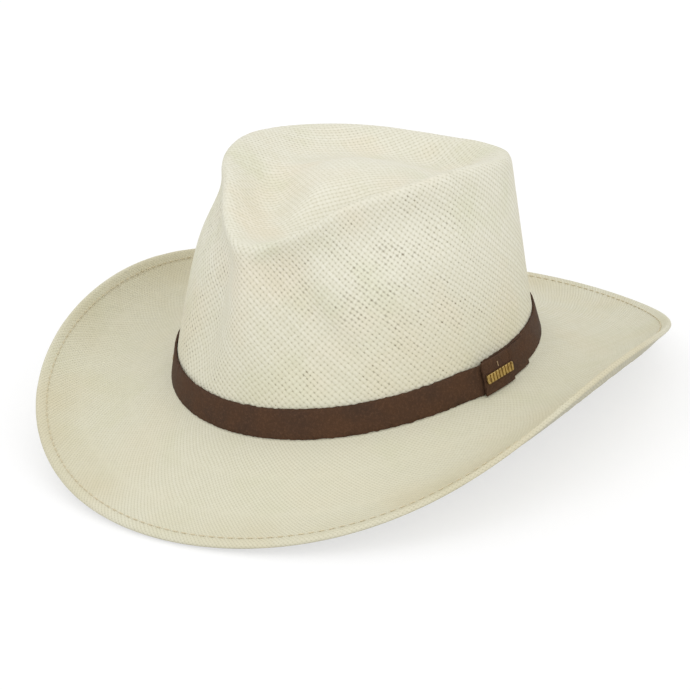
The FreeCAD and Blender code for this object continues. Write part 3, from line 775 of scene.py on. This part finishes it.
def dress_nodes():
    """Materials of the pieces whose CAD shape stays, and the uneven edges of the outer leather."""
    band = leather_material(
        "band_leather", dark=color(50, 33, 22), light=color(92, 64, 44), grain_scale=1400.0, roughness=0.8)
    lining = leather_material(
        "sweatband_leather", dark=color(120, 84, 58), light=color(160, 120, 86), grain_scale=1100.0,
        roughness=0.5)
    paint(band, "hatband", "hatband_tab")
    paint(lining, "sweatband", "sweatband_seam_cover")
    paint(thread_material("pale_thread", pale=color(230, 222, 196), deep=color(200, 184, 148)),
          "brim_hem_thread", "sweatband_thread")
    paint(thread_material("tack_thread", pale=color(190, 166, 132), deep=color(150, 122, 90)),
          "hatband_tacks")
    paint(filament_material(), "brim_edge_cord", "sweatband_reed")
    paint(brass_material(), "tab_bar")
    paint(label_material(), "size_label")
    fray("hatband", "Z", 1.2 * MM)
    fray("hatband_tab", "Y", 2.6 * MM)


# ---- stage, light and camera ----

def make_floor():
    """Wide pale floor just under the hat. It glows for the camera only, which keeps its shadow faint."""
    material, n, shader = new_material("pale_floor")
    tint = n.noise(n.position(), scale=3.0, detail=2.0)
    seen = n.add("ShaderNodeLightPath").outputs["Is Camera Ray"]
    n.put(shader.inputs["Base Color"], n.mix(seen, grey(0.8), n.mix(tint, grey(0.34), grey(0.36))))
    n.put(shader.inputs["Emission Strength"], n.times(seen, FLOOR_GLOW))
    shader.inputs["Emission Color"].default_value = grey(1.0)
    shader.inputs["Roughness"].default_value = 0.9
    low = cad_box[0][2] - FLOOR_GAP
    corners = [(FLOOR_HALF * x, FLOOR_HALF * y, low) for x, y in ((-1, -1), (1, -1), (1, 1), (-1, 1))]
    mesh = bpy.data.meshes.new("floor")
    mesh.from_pydata(corners, [], [(0, 1, 2, 3)])
    mesh.materials.append(material)
    floor = bpy.data.objects.new("floor", mesh)
    bpy.context.scene.collection.objects.link(floor)


def soft_light(name, place, size, power):
    """Square area light aimed at the hat."""
    light = bpy.data.lights.new(name, "AREA")
    light.size = size
    light.energy = power
    lamp = bpy.data.objects.new(name, light)
    lamp.location = place
    lamp.rotation_euler = (LIGHT_AIM - Vector(place)).to_track_quat("-Z", "Y").to_euler()
    bpy.context.scene.collection.objects.link(lamp)


def make_light():
    """White surroundings and three large soft lights: front, wearer's left and above the back."""
    world = bpy.data.worlds.new("studio")
    world.use_nodes = True
    background = world.node_tree.nodes["Background"]
    background.inputs["Color"].default_value = grey(1.0)
    background.inputs["Strength"].default_value = WORLD_STRENGTH
    bpy.context.scene.world = world
    soft_light("key", (-0.6, -1.3, 1.7), size=1.0, power=3.0)
    soft_light("fill", (1.5, -0.9, 0.9), size=1.2, power=4.5)
    soft_light("back", (0.3, 0.7, 1.9), size=1.2, power=1.2)


def make_camera():
    """Camera a little above the brim, off the wearer's left front."""
    azimuth = math.radians(34.88)
    elevation = math.radians(23.57)
    roll = math.radians(-4.45)
    distance = 1.5536
    aim_right = -6.46 * MM
    aim_up = 3.15 * MM
    back = Vector((
        math.sin(azimuth) * math.cos(elevation), -math.cos(azimuth) * math.cos(elevation),
        math.sin(elevation)))
    right = Vector((math.cos(azimuth), math.sin(azimuth), 0))
    up = back.cross(right)
    image_right = right * math.cos(roll) + up * math.sin(roll)
    image_up = up * math.cos(roll) - right * math.sin(roll)
    lens = bpy.data.cameras.new("camera")
    lens.angle = math.radians(12.95)
    camera = bpy.data.objects.new("camera", lens)
    turn = Matrix((image_right, image_up, back)).transposed().to_4x4()
    turn.translation = back * distance + image_right * aim_right + image_up * aim_up
    camera.matrix_world = turn
    bpy.context.scene.collection.objects.link(camera)
    bpy.context.scene.camera = camera


make_straw(straw_material())
dress_nodes()
make_floor()
make_light()
make_camera()
bpy.context.scene.view_settings.view_transform = "Standard"
